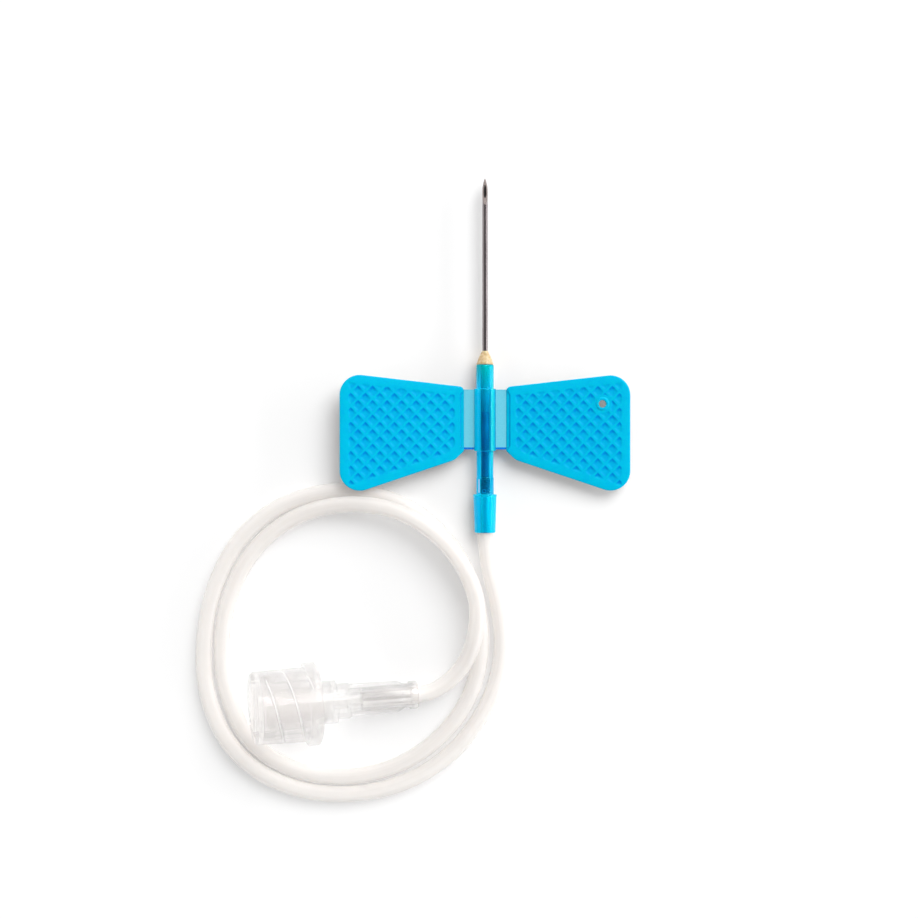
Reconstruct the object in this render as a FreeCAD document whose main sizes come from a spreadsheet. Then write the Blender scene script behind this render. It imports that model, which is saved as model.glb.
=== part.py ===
import FreeCAD, Part
import math
import os
import Sketcher

# A winged infusion set, laid out on a table as it comes from its pack.
# +Z is up, the needle points along +Y, and the hub's axis lies at x = 0.
# The origin is under the middle of the box round the needle, hub and wings.

os.makedirs("parts", exist_ok=True)
doc = FreeCAD.newDocument("winged_infusion_set")
Vector = FreeCAD.Vector
Y_AXIS = Vector(0, 1, 0)
Z_AXIS = Vector(0, 0, 1)

# Driving dimensions in millimetres and degrees.
# Places along the hub (hub_, wing_, needle_, glue_) are measured from the middle of the wing hinges.
# Places along the connector (cap_, luer_) are measured from the closed end of the cap.
DIMENSIONS = [
    ("hub_axis_height", 1.42),
    ("hinge_place_along_y", -7.7),
    ("needle_outer_radius", 0.32),
    ("needle_lumen_radius", 0.165),
    ("needle_tip", 29.1),
    ("needle_back", -8.9),
    ("needle_bevel_length", 3.25),
    ("needle_facet_turn", 35.0),
    ("needle_facet_slope", 16.0),
    ("glue_top", 8.2),
    ("glue_rim", 6.65),
    ("glue_rim_radius", 0.98),
    ("glue_mouth_radius", 0.82),
    ("glue_foot", -2.5),
    ("glue_foot_radius", 0.4),
    ("hub_nose_radius", 1.06),
    ("hub_nose_bevel_start", 6.5),
    ("hub_lower_radius", 1.02),
    ("hub_step", -7.0),
    ("hub_collar_radius", 1.06),
    ("hub_socket_start", -8.98),
    ("hub_socket_radius", 1.42),
    ("hub_socket_end_radius", 1.27),
    ("hub_socket_end", -13.67),
    ("hub_passage_radius", 0.5),
    ("tube_seat_in_hub", -10.42),
    ("sleeve_radius", 1.325),
    ("sleeve_front", 3.73),
    ("sleeve_back", -3.8),
    ("strip_thickness", 0.4),
    ("strip_outer_edge", 2.54),
    ("strip_front", 3.6),
    ("strip_back", -3.6),
    ("wing_thickness", 0.8),
    ("wing_root_front", 3.92),
    ("wing_tip_front", 5.6),
    ("wing_tip_back", -9.5),
    ("wing_root_back", -4.5),
    ("wing_reach", 17.5),
    ("wing_corner_radius", 2.4),
    ("wing_root_corner_radius", 1.0),
    ("wing_edge_radius", 0.15),
    ("wing_groove_start", 2.7),
    ("wing_groove_end", 3.1),
    ("wing_groove_depth", 0.15),
    ("wing_left_pitch", 5.5),
    ("dimple_pitch", 1.74),
    ("dimple_ridge", 0.14),
    ("dimple_depth", 0.22),
    ("dimple_margin", 1.05),
    ("hole_place_out", 14.13),
    ("hole_place_along", 1.88),
    ("hole_radius", 0.45),
    ("hole_ring_radius", 0.75),
    ("hole_ring_height", 0.12),
    ("tube_outer_radius", 0.975),
    ("tube_bore_radius", 0.5),
    ("connector_tilt", 13.0),
    ("connector_turn", 3.43),
    ("cap_end_x", -27.55),
    ("cap_end_y", -41.9),
    ("cap_wall_radius", 4.3),
    ("cap_rib_radius", 4.4),
    ("cap_rib_width", 0.4),
    ("cap_rib_start", 0.5),
    ("cap_end_radius", 4.0),
    ("cap_edge_bevel", 0.3),
    ("cap_bore_radius", 3.9),
    ("cap_end_wall", 1.0),
    ("cap_flange_start", 6.35),
    ("cap_flange_end", 7.68),
    ("cap_flange_radius", 4.9),
    ("cap_mouth", 7.98),
    ("cap_mouth_radius", 4.3),
    ("cap_plug_end", 8.4),
    ("cap_plug_root_radius", 2.12),
    ("cap_plug_tip_radius", 1.88),
    ("luer_mouth", 1.52),
    ("luer_mouth_radius", 2.15),
    ("luer_bore_end", 9.4),
    ("luer_bore_end_radius", 1.91),
    ("luer_body_radius", 2.87),
    ("luer_body_end", 7.6),
    ("luer_shoulder_radius", 2.54),
    ("luer_shoulder_end", 10.08),
    ("luer_neck_radius", 2.11),
    ("luer_neck_end", 11.6),
    ("luer_core_radius", 1.44),
    ("luer_passage_radius", 0.6),
    ("luer_tube_seat", 13.1),
    ("luer_fin_radius", 1.97),
    ("luer_fin_end_radius", 1.83),
    ("luer_fin_end", 17.5),
    ("luer_fin_foot", 18.3),
    ("luer_fin_width", 0.8),
    ("luer_ring_start", 18.92),
    ("luer_ring_radius", 1.66),
    ("luer_tail", 19.86),
    ("luer_lug_radius", 3.7),
    ("luer_lug_width", 3.2),
    ("luer_lug_thickness", 1.0),
]

sheet = doc.addObject("Spreadsheet::Sheet", "Dims")
for row, (alias, value) in enumerate(DIMENSIONS, start=1):
    sheet.set(f"A{row}", alias)
    sheet.set(f"B{row}", str(value))
    sheet.setAlias(f"B{row}", alias)
doc.recompute()


def size(alias):
    """The sheet's value of one driving dimension."""
    return float(sheet.get(alias))


def signed(term):
    """Split a coordinate such as "-hub_step" into its sign and its alias."""
    return (-1, term[1:]) if term.startswith("-") else (1, term)


def origin_plane(body, role):
    """One of the origin planes or axes of a body."""
    return next(f for f in body.Origin.OriginFeatures if f.Role == role)


def attach(sketch, body, role):
    """Lay a sketch on one of its body's own origin planes."""
    sketch.AttachmentSupport = [(origin_plane(body, role), "")]
    sketch.MapMode = "FlatFace"


def bind_vertex(sketch, line, x_term, y_term):
    """Hold the start point of a line at a pair of coordinates, each 0 or an alias."""
    for kind, term, own_axis in (("DistanceX", x_term, -2), ("DistanceY", y_term, -1)):
        if term == 0:
            sketch.addConstraint(Sketcher.Constraint("PointOnObject", line, 1, own_axis))
            continue
        sign, alias = signed(term)
        number = sketch.addConstraint(Sketcher.Constraint(kind, -1, 1, line, 1, sign * size(alias)))
        prefix = "-" if sign < 0 else ""
        sketch.setExpression(f"Constraints[{number}]", f"{prefix}Dims.{alias}")


def polygon(body, name, corners, role="XY_Plane"):
    """A closed outline of straight sides in a body, with every corner bound to the sheet."""
    sketch = body.newObject("Sketcher::SketchObject", name)
    attach(sketch, body, role)
    places = []
    for corner in corners:
        place = []
        for term in corner:
            sign, alias = signed(term) if term else (0, None)
            place.append(sign * size(alias) if alias else 0.0)
        places.append(Vector(place[0], place[1], 0))
    count = len(places)
    for i in range(count):
        sketch.addGeometry(Part.LineSegment(places[i], places[(i + 1) % count]), False)
    for i in range(count):
        sketch.addConstraint(Sketcher.Constraint("Coincident", i, 2, (i + 1) % count, 1))
    for i, (x_term, y_term) in enumerate(corners):
        bind_vertex(sketch, i, x_term, y_term)
    return sketch


def turned_body(name, corners):
    """A body turned about its own Y axis from an outline of radius and place pairs."""
    body = doc.addObject("PartDesign::Body", name)
    sketch = polygon(body, name + "_profile", corners)
    turn = body.newObject("PartDesign::Revolution", name + "_turned")
    turn.Profile = sketch
    turn.ReferenceAxis = (sketch, ["V_Axis"])
    turn.Angle = 360
    doc.recompute()
    return body


def groove(body, name, corners):
    """Cut a turned hollow out of a body."""
    sketch = polygon(body, name + "_profile", corners)
    before = body.Shape.Volume
    cut = body.newObject("PartDesign::Groove", name)
    cut.Profile = sketch
    cut.ReferenceAxis = (sketch, ["V_Axis"])
    cut.Angle = 360
    doc.recompute()
    if body.Shape.Volume >= before:
        raise ValueError(f"{name} removed nothing")


def upright_pad(body, name, corners, width):
    """Add a rib or fin, drawn in the XY plane and as wide as the sheet says."""
    pad = body.newObject("PartDesign::Pad", name)
    pad.Profile = polygon(body, name + "_outline", corners)
    pad.setExpression("Length", f"Dims.{width}")
    pad.Midplane = True
    doc.recompute()
    return pad


def ring_of(body, feature, count):
    """Repeat a feature evenly about the body's Y axis."""
    ring = body.newObject("PartDesign::PolarPattern", feature.Name + "_ring")
    ring.Originals = [feature]
    ring.Axis = (origin_plane(body, "Y_Axis"), [""])
    ring.Angle = 360
    ring.Occurrences = count
    body.Tip = ring
    doc.recompute()


def set_on_hub(body):
    """Put a body that was drawn about the hinge middle on the hub's axis."""
    body.setExpression("Placement.Base.y", "Dims.hinge_place_along_y")
    body.setExpression("Placement.Base.z", "Dims.hub_axis_height")


# Needle: a cannula ground to a long bevel that faces up, with two lancet facets at its point.
def make_needle():
    cannula = turned_body("cannula", [
        ("needle_lumen_radius", "needle_back"),
        ("needle_outer_radius", "needle_back"),
        ("needle_outer_radius", "needle_tip"),
        ("needle_lumen_radius", "needle_tip"),
    ])
    diameter = 2 * size("needle_outer_radius")
    bevel_slope = math.degrees(math.atan(diameter / size("needle_bevel_length")))
    point = Vector(0, size("needle_tip"), -size("needle_outer_radius"))
    stones = [
        ("bevel_stone", bevel_slope, 0),
        ("left_facet_stone", size("needle_facet_slope"), -size("needle_facet_turn")),
        ("right_facet_stone", size("needle_facet_slope"), size("needle_facet_turn")),
    ]
    ground = cannula
    for name, slope, turn in stones:
        stone = doc.addObject("Part::Box", name)
        stone.Length = 4 * diameter
        stone.setExpression("Width", "2 * Dims.needle_bevel_length")
        stone.Height = 4 * diameter
        lean = FreeCAD.Rotation(Y_AXIS, turn).multiply(FreeCAD.Rotation(Vector(1, 0, 0), -slope))
        corner = lean.multVec(Vector(-2 * diameter, -1.5 * size("needle_bevel_length"), 0))
        stone.Placement = FreeCAD.Placement(point + corner, lean)
        cut = doc.addObject("Part::Cut", "needle_after_" + name)
        cut.Base = ground
        cut.Tool = stone
        doc.recompute()
        ground = cut
    ground.Label = "needle_cannula"
    set_on_hub(ground)
    return ground


# Glue: a bead that fills the hub's mouth round the needle and rises up it as a cone.
def make_glue():
    bead = turned_body("glue_bead", [
        ("needle_outer_radius", "glue_top"),
        ("needle_outer_radius", "glue_foot"),
        ("glue_foot_radius", "glue_foot"),
        ("glue_mouth_radius", "glue_rim"),
        ("glue_rim_radius", "glue_rim"),
    ])
    set_on_hub(bead)
    return bead


# Hub: one turned moulding with a nose, the wings' seat, a collar and a socket for the tube.
def make_hub():
    hub = turned_body("needle_hub", [
        (0, "glue_rim"),
        ("glue_rim_radius", "glue_rim"),
        ("hub_nose_radius", "hub_nose_bevel_start"),
        ("hub_nose_radius", "sleeve_back"),
        ("hub_lower_radius", "sleeve_back"),
        ("hub_lower_radius", "hub_step"),
        ("hub_collar_radius", "hub_step"),
        ("hub_collar_radius", "hub_socket_start"),
        ("hub_socket_radius", "hub_socket_start"),
        ("hub_socket_end_radius", "hub_socket_end"),
        (0, "hub_socket_end"),
    ])
    groove(hub, "hub_needle_bore", [
        (0, "glue_rim"),
        ("glue_mouth_radius", "glue_rim"),
        ("glue_foot_radius", "glue_foot"),
        ("needle_outer_radius", "glue_foot"),
        ("needle_outer_radius", "needle_back"),
        ("hub_passage_radius", "needle_back"),
        ("hub_passage_radius", "tube_seat_in_hub"),
        ("tube_outer_radius", "tube_seat_in_hub"),
        ("tube_outer_radius", "hub_socket_end"),
        (0, "hub_socket_end"),
    ])
    set_on_hub(hub)
    return hub


# Sleeve of the wing moulding, closed round the hub.
def make_sleeve():
    sleeve = turned_body("wing_sleeve", [
        ("hub_nose_radius", "sleeve_front"),
        ("hub_nose_radius", "sleeve_back"),
        ("sleeve_radius", "sleeve_back"),
        ("sleeve_radius", "sleeve_front"),
    ])
    set_on_hub(sleeve)
    return sleeve


def hinge_line():
    """How far out of the hub's axis the living hinges bend."""
    return (size("sleeve_radius") + size("strip_outer_edge")) / 2


# Living hinges: thin strips between sleeve and wing, bent at mid width where a wing is pitched.
def make_strip(label, side, pitch):
    thick = size("strip_thickness")
    length = size("strip_front") - size("strip_back")
    line = hinge_line()
    start = Vector(0, size("strip_back"), -thick / 2)
    inner = Part.makeBox(line, length, thick, start)
    outer = Part.makeBox(size("strip_outer_edge") - line, length, thick, start + Vector(line, 0, 0))
    outer.rotate(Vector(line, 0, 0), Y_AXIS, -pitch)
    bend = Part.makeCylinder(thick / 2, length, Vector(line, size("strip_back"), 0), Y_AXIS)
    core = Part.makeCylinder(size("sleeve_radius"), length, Vector(0, size("strip_back"), 0), Y_AXIS)
    shape = inner.fuse([outer, bend]).removeSplitter().cut(core)
    if side < 0:
        shape = shape.mirror(Vector(0, 0, 0), Vector(1, 0, 0))
    strip = doc.addObject("Part::Feature", label)
    strip.Shape = shape
    strip.Placement = FreeCAD.Placement(
        Vector(0, size("hinge_place_along_y"), size("hub_axis_height")), FreeCAD.Rotation())
    return strip


def upright_edges(shape, x_place, y_low, y_high):
    """Names of the edges along Z that stand at one x, between two values of y."""
    names = []
    for number, edge in enumerate(shape.Edges, start=1):
        ends = [vertex.Point for vertex in edge.Vertexes]
        if len(ends) != 2 or abs(ends[0].z - ends[1].z) < 1e-3:
            continue
        if abs(ends[0].x - x_place) < 1e-3 and y_low < ends[0].y < y_high:
            names.append(f"Edge{number}")
    return names


def round_edges(body, name, edges, radius):
    """Fillet some edges of a body's last feature."""
    base = body.Tip
    fillet = body.newObject("PartDesign::Fillet", name)
    fillet.Base = (base, edges)
    fillet.setExpression("Radius", f"Dims.{radius}")
    body.Tip = fillet
    doc.recompute()


def moved_in(corners, margin):
    """The corners of a convex outline, given in turn, each side moved inwards by a margin."""
    count = len(corners)
    sides = []
    for i in range(count):
        along = (corners[(i + 1) % count] - corners[i]).normalize()
        inwards = Vector(-along.y, along.x, 0)
        sides.append((corners[i] + inwards * margin, along))
    result = []
    for i in range(count):
        (a, u), (b, v) = sides[i - 1], sides[i]
        across = u.x * v.y - u.y * v.x
        gap = b - a
        step = (gap.x * v.y - gap.y * v.x) / across
        result.append(a + u * step)
    return result


# Dimples: square hollows with their corners along and across the wing, cut off at a plain border.
def make_dimples(name, corners):
    pitch = size("dimple_pitch")
    reach = pitch / 2 - size("dimple_ridge") * math.sqrt(0.5)
    surface = size("wing_thickness") / 2
    depth = size("dimple_depth")
    field = moved_in(corners, size("dimple_margin"))
    border = Part.Face(Part.makePolygon(field + [field[0]]))
    xs = [corner.x for corner in field]
    ys = [corner.y for corner in field]
    pits = []
    rows = int((max(ys) - min(ys)) / (pitch / 2)) + 2
    columns = int((max(xs) - min(xs)) / pitch) + 2
    for row in range(rows):
        for column in range(columns):
            centre = Vector(min(xs) + (column + row % 2 / 2) * pitch, min(ys) + row * pitch / 2, 0)
            rim = [centre + Vector(reach, 0, 0), centre + Vector(0, reach, 0),
                   centre + Vector(-reach, 0, 0), centre + Vector(0, -reach, 0)]
            mouth = Part.Face(Part.makePolygon(rim + [rim[0]])).common(border)
            if mouth.Area > reach * reach:
                pits.append(pit_under(mouth.Faces[0], centre, surface, depth))
    field_of_pits = doc.addObject("Part::Feature", name)
    field_of_pits.Shape = Part.makeCompound(pits)
    return field_of_pits


def pit_under(mouth, centre, surface, depth):
    """A pyramid that hangs its point under the mouth, with a short rise over the surface."""
    points = [vertex.Point for vertex in mouth.OuterWire.OrderedVertexes]
    clear = 0.05
    apex = centre + Vector(0, 0, surface - depth)
    rim = [point + Vector(0, 0, surface) for point in points]
    top = [point + Vector(0, 0, surface + clear) for point in points]
    faces = [Part.Face(Part.makePolygon(top + [top[0]]))]
    for i in range(len(rim)):
        j = (i + 1) % len(rim)
        faces.append(Part.Face(Part.makePolygon([rim[i], rim[j], apex, rim[i]])))
        faces.append(Part.Face(Part.makePolygon([rim[i], rim[j], top[j], top[i], rim[i]])))
    return Part.makeSolid(Part.makeShell(faces))


# Wings: flat plates with rounded corners, a groove by the hinge and a field of dimples on top.
def make_wing_plate(name, marked):
    wing = doc.addObject("PartDesign::Body", name)
    plate = wing.newObject("PartDesign::Pad", name + "_plate")
    plate.Profile = polygon(wing, name + "_outline", [
        ("strip_outer_edge", "wing_root_back"),
        ("wing_reach", "wing_tip_back"),
        ("wing_reach", "wing_tip_front"),
        ("strip_outer_edge", "wing_root_front"),
    ])
    plate.setExpression("Length", "Dims.wing_thickness")
    plate.Midplane = True
    doc.recompute()
    root, reach = size("strip_outer_edge"), size("wing_reach")
    outer = upright_edges(plate.Shape, reach, -20, 20)
    round_edges(wing, name + "_outer_corners", outer, "wing_corner_radius")
    back = upright_edges(wing.Shape, root, -20, 0)
    round_edges(wing, name + "_back_corner", back, "wing_root_corner_radius")
    flats = [f"Face{i}" for i, face in enumerate(wing.Shape.Faces, start=1)
             if abs(face.normalAt(0, 0).z) > 0.99]
    round_edges(wing, name + "_soft_edges", flats, "wing_edge_radius")
    if marked:
        add_hole(wing)
    return wing


# Small locating hole near a wing's outer front corner, with a raised ring round it.
def add_hole(wing):
    for name, radius, is_hole in (("ring", "hole_ring_radius", False), ("hole", "hole_radius", True)):
        sketch = wing.newObject("Sketcher::SketchObject", name + "_circle")
        attach(sketch, wing, "XY_Plane")
        centre = Vector(size("hole_place_out"), size("hole_place_along"), 0)
        sketch.addGeometry(Part.Circle(centre, Z_AXIS, size(radius)), False)
        across = sketch.addConstraint(Sketcher.Constraint("DistanceX", -1, 1, 0, 3, centre.x))
        along = sketch.addConstraint(Sketcher.Constraint("DistanceY", -1, 1, 0, 3, centre.y))
        round_size = sketch.addConstraint(Sketcher.Constraint("Radius", 0, size(radius)))
        sketch.setExpression(f"Constraints[{across}]", "Dims.hole_place_out")
        sketch.setExpression(f"Constraints[{along}]", "Dims.hole_place_along")
        sketch.setExpression(f"Constraints[{round_size}]", f"Dims.{radius}")
        before = wing.Shape.Volume
        if is_hole:
            feature = wing.newObject("PartDesign::Pocket", name)
            feature.Type = "ThroughAll"
            feature.Midplane = True
        else:
            feature = wing.newObject("PartDesign::Pad", name)
            feature.setExpression("Length", "Dims.wing_thickness / 2 + Dims.hole_ring_height")
        feature.Profile = sketch
        doc.recompute()
        if is_hole and wing.Shape.Volume >= before:
            raise ValueError("the wing's hole removed nothing")


def make_wing(label, side):
    marked = side > 0
    plate = make_wing_plate(label + "_plain", marked)
    root, reach = size("wing_groove_start"), size("wing_reach")
    corners = [
        Vector(root, size("wing_root_back"), 0),
        Vector(reach, size("wing_tip_back"), 0),
        Vector(reach, size("wing_tip_front"), 0),
        Vector(root, size("wing_root_front"), 0),
    ]
    dimples = make_dimples(label + "_dimples", corners)
    channel = doc.addObject("Part::Box", label + "_groove")
    channel.setExpression("Length", "Dims.wing_groove_end - Dims.wing_groove_start")
    channel.setExpression("Width", "Dims.strip_front - Dims.strip_back")
    channel.setExpression("Height", "2 * Dims.wing_groove_depth")
    channel.setExpression("Placement.Base.x", "Dims.wing_groove_start")
    channel.setExpression("Placement.Base.y", "Dims.strip_back")
    channel.setExpression("Placement.Base.z", "Dims.wing_thickness / 2 - Dims.wing_groove_depth")
    doc.recompute()
    if marked:
        centre = Vector(size("hole_place_out"), size("hole_place_along"), -size("wing_thickness"))
        keep = Part.makeCylinder(1.3 * size("hole_ring_radius"), 2 * size("wing_thickness"), centre)
        pits = [pit for pit in dimples.Shape.Solids if pit.common(keep).Volume < 1e-6]
        dimples.Shape = Part.makeCompound(pits)
    hollows = doc.addObject("Part::MultiFuse", label + "_hollows")
    hollows.Shapes = [dimples, channel]
    wing = doc.addObject("Part::Cut", label)
    wing.Base = plate
    wing.Tool = hollows
    doc.recompute()
    if side > 0:
        set_on_hub(wing)
        return wing
    mirrored = doc.addObject("Part::Mirroring", label + "_mirrored")
    mirrored.Source = wing
    mirrored.Normal = Vector(1, 0, 0)
    doc.recompute()
    pitch = FreeCAD.Rotation(Y_AXIS, size("wing_left_pitch"))
    line = Vector(-hinge_line(), 0, 0)
    mirrored.Placement = FreeCAD.Placement(
        line - pitch.multVec(line) + Vector(0, size("hinge_place_along_y"), size("hub_axis_height")),
        pitch)
    return mirrored


# The connector lies tilted: its flange and the tube hold it, and its tail points down to the tube.
def connector_placement():
    tilt = math.radians(size("connector_tilt"))
    turn = math.radians(size("connector_turn"))
    along = Vector(math.cos(tilt) * math.cos(turn), math.cos(tilt) * math.sin(turn), -math.sin(tilt))
    height = size("cap_flange_end") * math.sin(tilt) + size("cap_flange_radius") * math.cos(tilt)
    base = Vector(size("cap_end_x"), size("cap_end_y"), height)
    across = Z_AXIS.cross(along).normalize()
    rotation = FreeCAD.Rotation(across.negative(), along, along.cross(across).negative(), "YXZ")
    return FreeCAD.Placement(base, rotation), base, along


# Cap: closed at its outer end, ribbed for the fingers, with a flange at its mouth and a taper plug.
def make_cap():
    cap = turned_body("luer_cap", [
        (0, 0),
        ("cap_end_radius", 0),
        ("cap_wall_radius", "cap_edge_bevel"),
        ("cap_wall_radius", "cap_flange_start"),
        ("cap_flange_radius", "cap_flange_start"),
        ("cap_flange_radius", "cap_flange_end"),
        ("cap_mouth_radius", "cap_mouth"),
        ("cap_bore_radius", "cap_mouth"),
        ("cap_bore_radius", "cap_end_wall"),
        ("cap_plug_root_radius", "cap_end_wall"),
        ("cap_plug_tip_radius", "cap_plug_end"),
        (0, "cap_plug_end"),
    ])
    rib = upright_pad(cap, "cap_rib", [
        ("cap_bore_radius", "cap_rib_start"),
        ("cap_rib_radius", "cap_rib_start"),
        ("cap_rib_radius", "cap_flange_start"),
        ("cap_bore_radius", "cap_flange_start"),
    ], "cap_rib_width")
    ring_of(cap, rib, 8)
    cap.Placement = connector_placement()[0]
    return cap


# Luer hub: a female taper with two lugs at its mouth, then a neck, four fins and a tail ring.
def make_luer_hub():
    hub = turned_body("luer_hub", [
        (0, "luer_mouth"),
        ("luer_body_radius", "luer_mouth"),
        ("luer_body_radius", "luer_body_end"),
        ("luer_shoulder_radius", "luer_body_end"),
        ("luer_shoulder_radius", "luer_shoulder_end"),
        ("luer_neck_radius", "luer_shoulder_end"),
        ("luer_neck_radius", "luer_neck_end"),
        ("luer_core_radius", "luer_neck_end"),
        ("luer_core_radius", "luer_ring_start"),
        ("luer_ring_radius", "luer_ring_start"),
        ("luer_ring_radius", "luer_tail"),
        (0, "luer_tail"),
    ])
    fin = upright_pad(hub, "luer_fin", [
        (0, "luer_shoulder_end"),
        ("luer_fin_radius", "luer_shoulder_end"),
        ("luer_fin_end_radius", "luer_fin_end"),
        ("luer_core_radius", "luer_fin_foot"),
        (0, "luer_fin_foot"),
    ], "luer_fin_width")
    ring_of(hub, fin, 4)
    lugs = hub.newObject("Sketcher::SketchObject", "lug_bar")
    attach(lugs, hub, "XZ_Plane")
    radius, half = size("luer_lug_radius"), size("luer_lug_width") / 2
    reach = math.sqrt(radius ** 2 - half ** 2)
    sweep = math.asin(half / radius)
    circle = Part.Circle(Vector(0, 0, 0), Z_AXIS, radius)
    lugs.addGeometry(Part.LineSegment(Vector(-reach, half, 0), Vector(reach, half, 0)), False)
    lugs.addGeometry(Part.ArcOfCircle(circle, -sweep, sweep), False)
    lugs.addGeometry(Part.LineSegment(Vector(reach, -half, 0), Vector(-reach, -half, 0)), False)
    lugs.addGeometry(Part.ArcOfCircle(circle, math.pi - sweep, math.pi + sweep), False)
    lugs.addConstraint(Sketcher.Constraint("Coincident", 0, 2, 1, 2))
    lugs.addConstraint(Sketcher.Constraint("Coincident", 2, 1, 1, 1))
    lugs.addConstraint(Sketcher.Constraint("Coincident", 2, 2, 3, 2))
    lugs.addConstraint(Sketcher.Constraint("Coincident", 0, 1, 3, 1))
    lugs.AttachmentOffset = FreeCAD.Placement(Vector(0, 0, -size("luer_mouth")), FreeCAD.Rotation())
    bar = hub.newObject("PartDesign::Pad", "luer_lugs")
    bar.Profile = lugs
    bar.setExpression("Length", "Dims.luer_lug_thickness")
    bar.Reversed = True
    doc.recompute()
    groove(hub, "luer_bore", [
        (0, "luer_mouth"),
        ("luer_mouth_radius", "luer_mouth"),
        ("luer_bore_end_radius", "luer_bore_end"),
        ("luer_passage_radius", "luer_bore_end"),
        ("luer_passage_radius", "luer_tube_seat"),
        ("tube_outer_radius", "luer_tube_seat"),
        ("tube_outer_radius", "luer_tail"),
        (0, "luer_tail"),
    ])
    hub.Placement = connector_placement()[0]
    return hub


# Where the tube turns: down out of the hub, one wide turn on the table, a second turn inside it
# that climbs onto the first, then down and round into the connector.
TUBE_ROUTE = [
    (0.0, -24.15, 1.42), (1.7, -29.85, 1.05), (2.25, -36.1, 0.98), (0.75, -41.75, 0.98),
    (-3.25, -47.7, 0.98), (-9.25, -51.7, 0.98), (-16.3, -53.2, 0.98), (-23.65, -52.4, 0.98),
    (-30.15, -48.5, 0.98), (-33.65, -41.85, 0.98), (-34.15, -34.65, 0.98), (-32.9, -27.8, 0.98),
    (-29.55, -21.4, 0.98), (-23.55, -17.1, 0.98), (-16.3, -15.95, 0.98), (-9.3, -17.75, 0.98),
    (-4.0, -22.4, 0.98), (-1.1, -28.4, 0.98), (-0.25, -34.65, 0.98), (-1.5, -40.8, 0.98),
    (-5.05, -45.9, 0.98), (-10.15, -49.45, 0.98), (-16.3, -50.95, 0.98), (-22.75, -50.25, 0.98),
    (-28.45, -46.85, 0.98), (-31.2, -40.85, 0.98), (-31.9, -34.65, 0.98), (-30.85, -28.65, 0.98),
    (-27.85, -23.1, 0.98), (-22.7, -19.1, 1.1), (-16.2, -17.65, 2.2), (-9.65, -18.7, 2.95),
    (-4.3, -22.6, 3.1), (-1.0, -28.1, 3.2), (-0.9, -32.8, 3.15), (-2.4, -37.5, 1.7),
]
TURN_PAST_TAIL = 2.3
ARC_SHARE = 0.45


# Tube: straight runs joined by tangent arcs, swept with a ring section.
def make_tube():
    _, cap_end, along = connector_placement()
    height, hinge = size("hub_axis_height"), size("hinge_place_along_y")
    route = [Vector(0, hinge + size("tube_seat_in_hub"), height)]
    route += [Vector(*point) for point in TUBE_ROUTE]
    route.append(cap_end + along * (size("luer_tail") + TURN_PAST_TAIL))
    route.append(cap_end + along * size("luer_tube_seat"))
    edges = []
    start = route[0]
    radii = []
    for before, corner, after in zip(route, route[1:], route[2:]):
        back, ahead = before - corner, after - corner
        setback = ARC_SHARE * min(back.Length, ahead.Length)
        half_turn = (math.pi - back.getAngle(ahead)) / 2
        radius = setback / math.tan(half_turn)
        radii.append(radius)
        back.normalize()
        ahead.normalize()
        arc_start, arc_end = corner + back * setback, corner + ahead * setback
        to_centre = (back + ahead).normalize()
        middle = corner + to_centre * (radius / math.cos(half_turn) - radius)
        edges.append(Part.LineSegment(start, arc_start).toShape())
        edges.append(Part.Arc(arc_start, middle, arc_end).toShape())
        start = arc_end
    edges.append(Part.LineSegment(start, route[-1]).toShape())
    path = Part.Wire(edges)
    solids = []
    for radius in (size("tube_outer_radius"), size("tube_bore_radius")):
        ring = Part.Wire(Part.makeCircle(radius, route[0], route[1] - route[0]))
        solids.append(path.makePipeShell([ring], True, False))
    tube = doc.addObject("Part::Feature", "tubing")
    tube.Shape = solids[0].cut(solids[1])
    section = math.pi * (size("tube_outer_radius") ** 2 - size("tube_bore_radius") ** 2)
    print("tube radii", " ".join(f"{radius:.1f}" for radius in radii))
    print(f"tube length {path.Length:.1f}, volume {tube.Shape.Volume:.2f}, "
          f"section times length {section * path.Length:.2f}, lowest {tube.Shape.BoundBox.ZMin:.3f}")
    return tube


nodes = {
    "needle_cannula": make_needle(),
    "glue_bead": make_glue(),
    "needle_hub": make_hub(),
    "wing_sleeve": make_sleeve(),
    "hinge_left": make_strip("hinge_left", -1, size("wing_left_pitch")),
    "hinge_right": make_strip("hinge_right", 1, 0),
    "wing_left": make_wing("wing_left", -1),
    "wing_right": make_wing("wing_right", 1),
    "tubing": make_tube(),
    "luer_hub": make_luer_hub(),
    "luer_cap": make_cap(),
}
doc.recompute()

for item in doc.Objects:
    if "Invalid" in item.State or "Error" in item.State:
        raise ValueError(f"{item.Name} did not compute: {item.State}")
for name, node in nodes.items():
    node.Label = name
    if node.Shape.isNull() or not node.Shape.isValid():
        raise ValueError(f"{name} has no valid shape")
for name, node in nodes.items():
    node.Shape.exportStep(f"parts/{name}.step")
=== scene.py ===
import math
import bmesh
import bpy
from mathutils import Matrix, Vector, noise
from mathutils.geometry import delaunay_2d_cdt


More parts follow.
